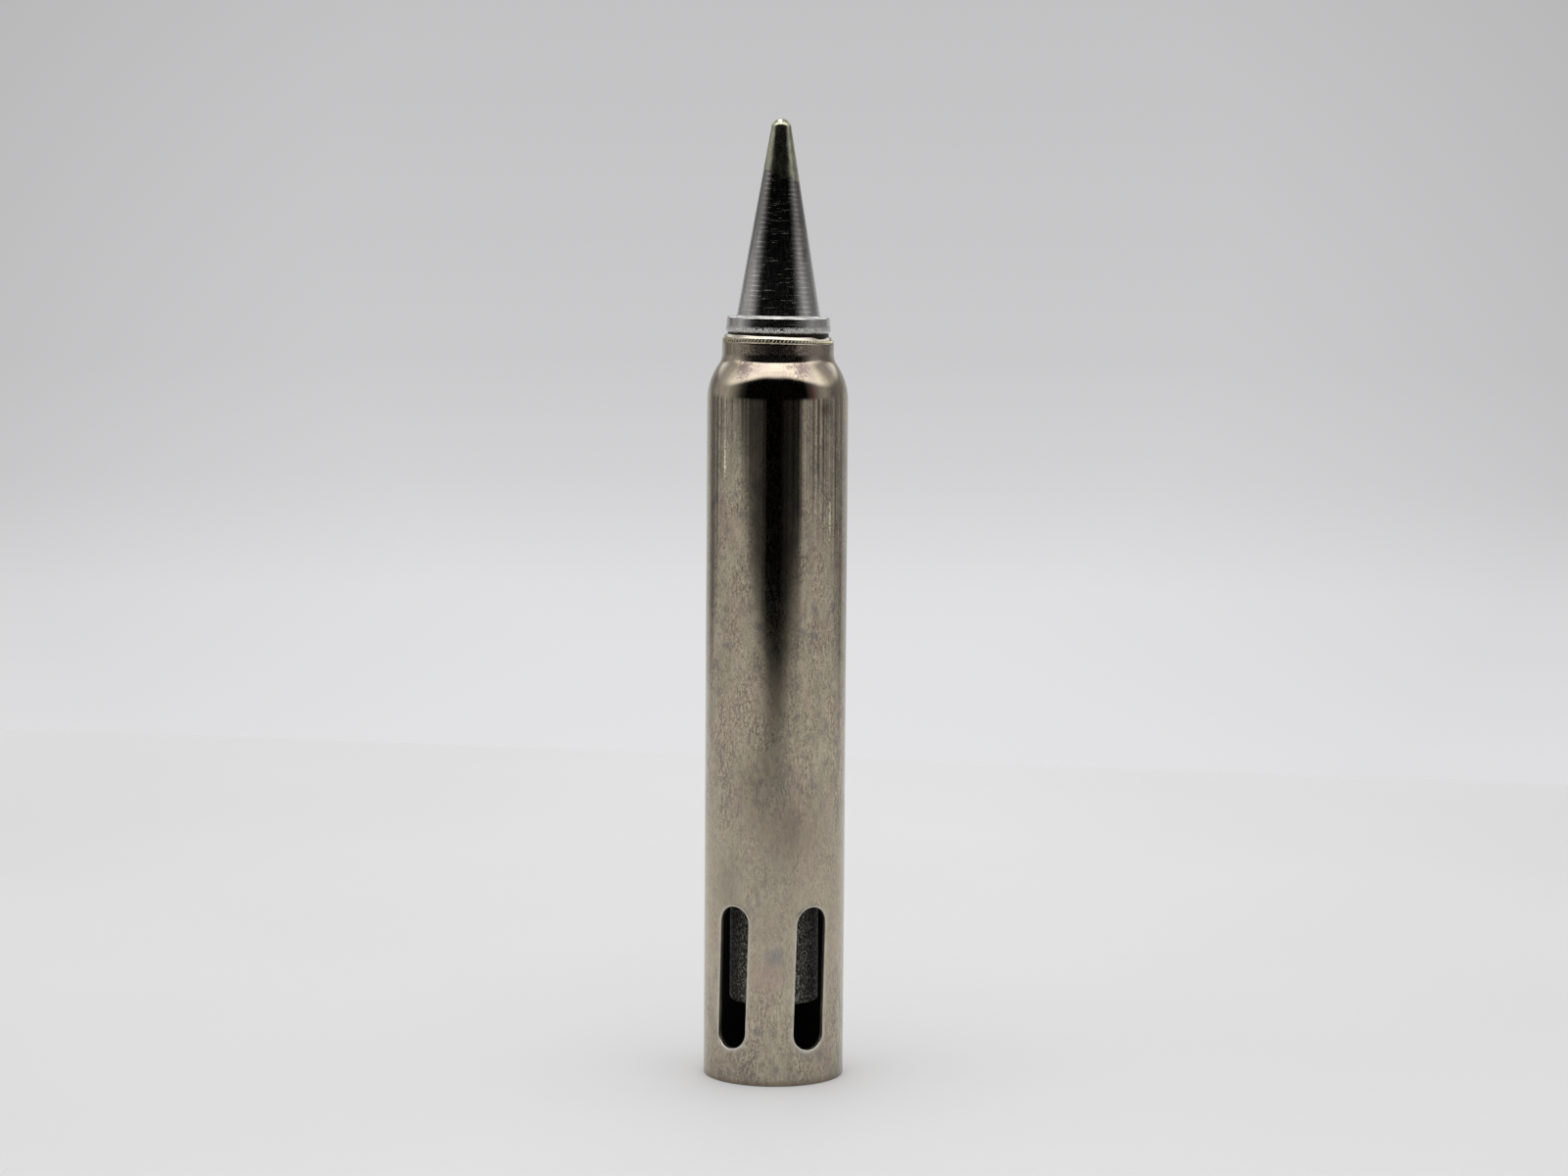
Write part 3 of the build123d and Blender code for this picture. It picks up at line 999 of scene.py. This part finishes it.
braze = {"bite": 0.02 * mm, "fullness": 0.98}
brazeTurning = {"Segments": 96, "Rows": 60, "Roughness Size": 0.35 * mm, "Roughness Depth": 0.03 * mm}


def turnBraze():
    outer, top, bottom = brazeHigh.x, brazeHigh.z, brazeLow.z
    leg, inner = outer - tubeHigh.x, tubeHigh.x - braze["bite"]
    turns = [radians(angle) for angle in range(0, 91, 15)]
    profile = [(inner, top), (inner, bottom)]
    profile += [(outer - leg * cos(t), bottom + leg * sin(t) * braze["fullness"]) for t in turns]
    piece = turnPiece("brazeFillet", profile, brazeFinish, brazeTurning)
    settle(piece, "braze_alloy", "braze_ring")


print("turned pieces")
turnChrome()
turnIron()
turnCore()
turnTube()
turnBraze()


# a wetted skin on the point, with a wandering border that tucks under the chrome
solderCap = {
    "skin": 0.010 * mm,
    "tuck": 0.012 * mm,
    "edgeHeight": tinLow.z - 0.20 * mm,
    "edgeTilt": 0.22 * mm,
    "edgeWander": 0.20 * mm,
    "runOut": 0.42 * mm,
    "fluxWidth": 0.30 * mm,
    "bumpSize": 0.60 * mm,
    "bumpDepth": 0.010 * mm,
    "domeFrom": 0.97,
    "innerReach": 0.985,
    "crowding": 1.6,
    "columns": 120,
    "rows": 90,
}


def flowSolder():
    columns, rows, domeFrom = solderCap["columns"], solderCap["rows"], solderCap["domeFrom"]
    tip = bit["pointCentre"] + bit["pointRadius"]
    points, burnt, faces = [], [], []

    def addPoint(x, y, z, burn=0.0):
        lean = bitLean["Lean"]
        points.append((x + (z - bitLean["Lean From"]) * lean, y, z - x * lean))
        burnt.append(burn)
        return len(points) - 1

    def addRing(share, inset):
        ring = []
        for column in range(columns):
            angle = 2 * pi * column / columns
            x, y = cos(angle), sin(angle)
            edge = solderCap["edgeHeight"] - solderCap["edgeTilt"] * x
            edge += solderCap["edgeWander"] * noise.noise(Vector((x * 1.7, y * 1.7, 0.5)))
            edge += 0.2 * solderCap["edgeWander"] * noise.noise(Vector((x * 5.0, y * 5.0, 2.5)))
            z = edge + (tip - edge) * share
            cone = coneRadiusAt(z)
            tuck = solderCap["tuck"]
            skin = (solderCap["skin"] + tuck) * smooth((z - edge) / solderCap["runOut"]) - tuck
            bump = max(noise.noise(Vector((x * cone, y * cone, z)) / solderCap["bumpSize"]), -0.4)
            skin += solderCap["bumpDepth"] * bump * smooth((z - edge) / (0.5 * mm))
            if inset:
                skin = -bit["chromeDepth"]
            radius = max(cone + skin * smooth((tip - z) / (0.1 * mm)), 0.0)
            dome = skin * max(share - domeFrom, 0.0) / (1 - domeFrom)
            burn = 0.0 if inset else 1 - smooth((z - edge) / solderCap["fluxWidth"])
            ring.append(addPoint(radius * x, radius * y, z + dome, burn))
        return ring

    # rows crowd together towards the rounded point
    shares = [1 - (1 - row / rows) ** solderCap["crowding"] for row in range(rows)]
    outer = [addRing(share, False) for share in shares]
    apex = addPoint(0.0, 0.0, tip + solderCap["skin"])
    inner = [addRing(share * solderCap["innerReach"], True) for share in shares[::6]]
    innerApex = addPoint(0.0, 0.0, tip - bit["chromeDepth"])
    for low, high in zip(outer, outer[1:]):
        weave(faces, low, high)
    for low, high in zip([outer[0]] + inner, inner):
        weave(faces, low, high, flip=True)
    for column in range(columns):
        right = (column + 1) % columns
        faces.append([outer[-1][column], outer[-1][right], apex])
        faces.append([inner[-1][right], inner[-1][column], innerApex])
    piece = meshPiece("solderCap", points, faces, solderFinish, burnt)
    settle(piece, "solder_tin", "solder_tinning")


print("solder cap")
flowSolder()


# past mirroredRadius the metal mirrors the bench of softWorld instead of this one
bench = {
    "back": 0.126,
    "front": -1.40,
    "halfWidth": 0.75,
    "slant": -0.17,
    "mirroredRadius": 0.105,
    "light": (0.775, 0.772, 0.772),
    "dark": (0.745, 0.742, 0.742),
    "cloud": 60.0,
    "roughness": 0.7,
    "sideShade": 0.07,
    "shadeFrom": 0.015,
    "shadeTo": 0.065,
}


def paleBench():
    material = bpy.data.materials.new("paleBench")
    material.use_nodes = True
    tree = material.node_tree
    shader = tree.nodes["Principled BSDF"]
    shader.inputs["Roughness"].default_value = bench["roughness"]
    cloud = grain(tree, (bench["cloud"],) * 3, 2.0, 0.5)
    colour = tint(tree, spread(tree, cloud, 0.3, 0.7), bench["dark"], bench["light"])
    sideways = calc(tree, "ABSOLUTE", coordinates(tree, objectPlace(tree))["X"])
    shade = spread(tree, sideways, bench["shadeFrom"], bench["shadeTo"], 0.0, bench["sideShade"])
    tree.links.new(tint(tree, shade, colour, (0.0, 0.0, 0.0)), shader.inputs["Base Color"])
    half, back, front, slant = bench["halfWidth"], bench["back"], bench["front"], bench["slant"]
    corners = [(half, back + half * slant), (-half, back - half * slant), (-half, front), (half, front)]
    turns = [atan2(y, x) for x, y in corners] + [radians(angle) for angle in range(-180, 180, 10)]
    turns.sort()

    def rimPoint(turn):
        # where a line from the middle at this angle leaves the bench
        x, y = cos(turn), sin(turn)
        reach = [half / abs(x)] if abs(x) > 1e-6 else []
        reach += [front / y] if y < -1e-6 else []
        if y - slant * x > 1e-6:
            reach.append(back / (y - slant * x))
        return (min(reach) * x, min(reach) * y, 0.0)

    near, count = bench["mirroredRadius"], len(turns)
    inner = [(near * cos(turn), near * sin(turn), 0.0) for turn in turns]
    disc = meshPiece("benchMiddle", inner, [list(range(count))], material)
    ring = [(step, step + count, (step + 1) % count + count, (step + 1) % count) for step in range(count)]
    field = meshPiece("benchField", inner + [rimPoint(turn) for turn in turns], ring, material)
    field.visible_glossy = False


# what the metal mirrors, by compass angle in degrees where 0 is -Y and 90 is +X:
# brightness level with the horizon, above it and overhead
room = {
    "level": [
        (-180, 0.62), (-148, 0.60), (-139, 0.42), (-130, 0.20), (-118, 0.26), (-104, 0.42),
        (-84, 0.45), (-68, 0.30), (-55, 0.14), (-40, 0.08), (-24, 0.055), (-15, 0.0), (8, 0.0),
        (16, 0.02), (38, 0.02), (45, 0.46), (55, 0.41), (66, 0.36), (90, 0.36), (110, 0.33),
        (130, 0.27), (142, 0.52), (180, 0.62),
    ],
    "above": [
        (-180, 0.50), (-152, 0.46), (-138, 0.28), (-120, 0.54), (-92, 0.62), (-76, 0.32),
        (-62, 0.05), (-50, 0.0), (50, 0.0), (62, 0.12), (78, 0.46), (86, 0.52), (103, 0.28),
        (122, 0.26), (136, 0.30), (152, 0.46), (180, 0.50),
    ],
    "overhead": [
        (-180, 1.5), (-140, 1.5), (-122, 0.7), (-108, 0.7), (-84, 2.0), (-60, 2.6),
        (60, 2.6), (84, 2.0), (108, 0.7), (122, 0.7), (140, 1.5), (180, 1.5),
    ],
    # how far below the horizon the pale bench starts to show, where 1 is ten degrees
    "bench": [
        (-180, 0.45), (-140, 0.48), (-128, 0.50), (-112, 0.36), (-100, 0.26), (-72, 0.22),
        (-58, 0.27), (-47, 0.33), (-28, 0.45), (-12, 0.57), (-4, 0.61), (6, 0.62), (16, 0.56),
        (28, 0.46), (40, 0.42), (52, 0.33), (75, 0.31), (100, 0.34), (115, 0.42), (128, 0.53),
        (145, 0.48), (180, 0.45),
    ],
    # dim gaps between the overhead lamps
    "lamps": [
        (-180, 1.0), (-84, 1.0), (-72, 0.34), (-52, 0.30), (-42, 1.0), (22, 1.0), (34, 0.32),
        (50, 0.34), (62, 1.0), (180, 1.0),
    ],
    "benchFar": (0.66, 0.653, 0.645),
    "benchNear": (0.86, 0.85, 0.84),
    # brightness of the wall the camera sees, by degrees above the horizon
    "wall": [(-8.0, 0.775), (-5.5, 0.742), (-3.7, 0.645), (-1.9, 0.592), (0.0, 0.573), (4.0, 0.537)],
    "wallTint": (1.0, 1.0, 1.015),
    "wallMiddle": (-0.035, 0.999, 0.0),
    "cornerFrom": 0.992,
    "cornerTo": 0.975,
    "streakPitch": 0.20,
    "streakContrast": (0.30, 1.70),
    "calmStreaks": 0.2,
    "cornerShade": (0.05, 0.115),
    "benchFull": 1.75,
    "horizonBlend": 7.0,
    "ceilingFront": 43.0,
    "ceilingSides": 15.0,
    # where a change starts and ends in degrees: above the horizon, away from the front, or
    # for ceilingBlend above the edge that ceilingFront and ceilingSides give
    "wallFoot": (-8.0, -4.0),
    "calmBack": (140.0, 115.0),
    "nearBench": (-6.5, -9.0),
    "gapsFrom": (56.0, 64.0),
    "gapsTo": (89.5, 87.0),
    "ceilingTurn": (15.0, 110.0),
    "ceilingBlend": (-2.0, 7.0),
    "fill": (0.87, 0.87, 0.88),
}


def roomRamp(tree, value, stops):
    # a grey ramp between the first and the last of the stops
    first, last = stops[0][0], stops[-1][0]
    node = newNode(tree, "ShaderNodeValToRGB", {"Fac": spread(tree, value, first, last)})
    ramp = node.color_ramp
    while len(ramp.elements) < len(stops):
        ramp.elements.new(1.0)
    for element, (place, level) in zip(ramp.elements, stops):
        element.position = (place - first) / (last - first)
        element.color = (level, level, level, 1.0)
    return node.outputs["Color"]


def softWorld():
    world = bpy.data.worlds.new("softStudio")
    bpy.context.scene.world = world
    world.use_nodes = True
    tree = world.node_tree
    tree.nodes.clear()
    black, white = (0.0, 0.0, 0.0), (1.0, 1.0, 1.0)
    way = newNode(tree, "ShaderNodeTexCoord").outputs["Generated"]
    side = coordinates(tree, way)
    rise = times(tree, calc(tree, "ARCSINE", side["Z"]), 180 / pi)
    turn = calc(tree, "ARCTAN2", side["X"], times(tree, side["Y"], -1.0))
    turn = times(tree, turn, 180 / pi)
    fromFront = calc(tree, "ABSOLUTE", turn)
    # seen directly: a pale wall that darkens upwards and into the corners
    seen = tint(tree, 1.0, roomRamp(tree, rise, room["wall"]), room["wallTint"], "MULTIPLY")
    middle = calcVector(tree, "DOT_PRODUCT", way, room["wallMiddle"])
    corner = spread(tree, middle, room["cornerFrom"], room["cornerTo"])
    corner = times(tree, corner, spread(tree, rise, *room["wallFoot"], *room["cornerShade"]))
    seen = tint(tree, corner, seen, black)
    # mirrored: pale walls round a dark opening where a person would stand, with lights overhead
    across = times(tree, turn, room["streakPitch"])
    streakInputs = {"W": across, "Scale": 1.0, "Detail": 2.0, "Roughness": 0.6}
    streaks = firstOutput(tree, "ShaderNodeTexNoise", streakInputs, noise_dimensions="1D")
    streaks = spread(tree, streaks, 0.34, 0.66, *room["streakContrast"])
    level = roomRamp(tree, turn, room["level"])
    streaked = tint(tree, 1.0, level, streaks, "MULTIPLY")
    calm = spread(tree, fromFront, *room["calmBack"], room["calmStreaks"], 1.0)
    level = tint(tree, calm, level, streaked)
    edge = times(tree, roomRamp(tree, turn, room["bench"]), -10.0)
    onBench = spread(tree, rise, edge, times(tree, edge, room["benchFull"]), 0.0, 1.0, True)
    benchTone = tint(tree, spread(tree, rise, *room["nearBench"]), room["benchFar"], room["benchNear"])
    level = tint(tree, onBench, level, benchTone)
    above = roomRamp(tree, turn, room["above"])
    upwards = spread(tree, rise, 0.0, room["horizonBlend"], 0.0, 1.0, True)
    mirrored = tint(tree, upwards, level, above)
    between = spread(tree, rise, *room["gapsFrom"], 0.0, 1.0, True)
    between = times(tree, between, spread(tree, rise, *room["gapsTo"], 0.0, 1.0, True))
    lamps = tint(tree, between, white, roomRamp(tree, turn, room["lamps"]))
    overhead = tint(tree, 1.0, roomRamp(tree, turn, room["overhead"]), lamps, "MULTIPLY")
    ends = (room["ceilingFront"], room["ceilingSides"])
    ceiling = spread(tree, fromFront, *room["ceilingTurn"], *ends, True)
    overCeiling = calc(tree, "SUBTRACT", rise, ceiling)
    reached = spread(tree, overCeiling, *room["ceilingBlend"], 0.0, 1.0, True)
    mirrored = tint(tree, reached, mirrored, overhead)
    rays = newNode(tree, "ShaderNodeLightPath").outputs
    lit = tint(tree, rays["Is Glossy Ray"], room["fill"], mirrored)
    final = tint(tree, rays["Is Camera Ray"], lit, seen)
    ground = firstOutput(tree, "ShaderNodeBackground", {"Color": final, "Strength": 1.0})
    newNode(tree, "ShaderNodeOutputWorld", {"Surface": ground})


lamp = {"place": (0.0, -0.05, 0.45), "aim": (0.0, 0.0, 0.027), "side": 0.40, "power": 0.25}


def hangLamp():
    light = bpy.data.lights.new("overheadLight", "AREA")
    light.shape = "RECTANGLE"
    light.size = light.size_y = lamp["side"]
    light.energy = lamp["power"]
    box = bpy.data.objects.new("overheadLight", light)
    bpy.context.collection.objects.link(box)
    box.location = lamp["place"]
    box.rotation_euler = (Vector(lamp["aim"]) - Vector(lamp["place"])).to_track_quat("-Z", "Y").to_euler()
    box.visible_camera = False


# metres and degrees
view = {
    "distance": 0.205,
    "height": 0.0475,
    "around": 2.0,
    "down": 5.5,
    "aside": 0.120,
    "roll": 0.41,
    "lens": 83.7,
}


def standCamera():
    data = bpy.data.cameras.new("camera")
    data.sensor_width = 36.0
    data.lens = view["lens"]
    data.clip_start, data.clip_end = 0.005, 5.0
    camera = bpy.data.objects.new("camera", data)
    bpy.context.collection.objects.link(camera)
    around = radians(view["around"])
    out = view["distance"]
    camera.location = (out * sin(around), -out * cos(around), view["height"])
    turn = Matrix.Rotation(around - radians(view["aside"]), 4, "Z")
    tip = Matrix.Rotation(radians(90 - view["down"]), 4, "X")
    roll = Matrix.Rotation(radians(view["roll"]), 4, "Z")
    camera.rotation_mode = "QUATERNION"
    camera.rotation_quaternion = (turn @ tip @ roll).to_quaternion()
    bpy.context.scene.camera = camera


print("studio")
paleBench()
softWorld()
hangLamp()
standCamera()
bpy.context.scene.view_settings.view_transform = "Standard"
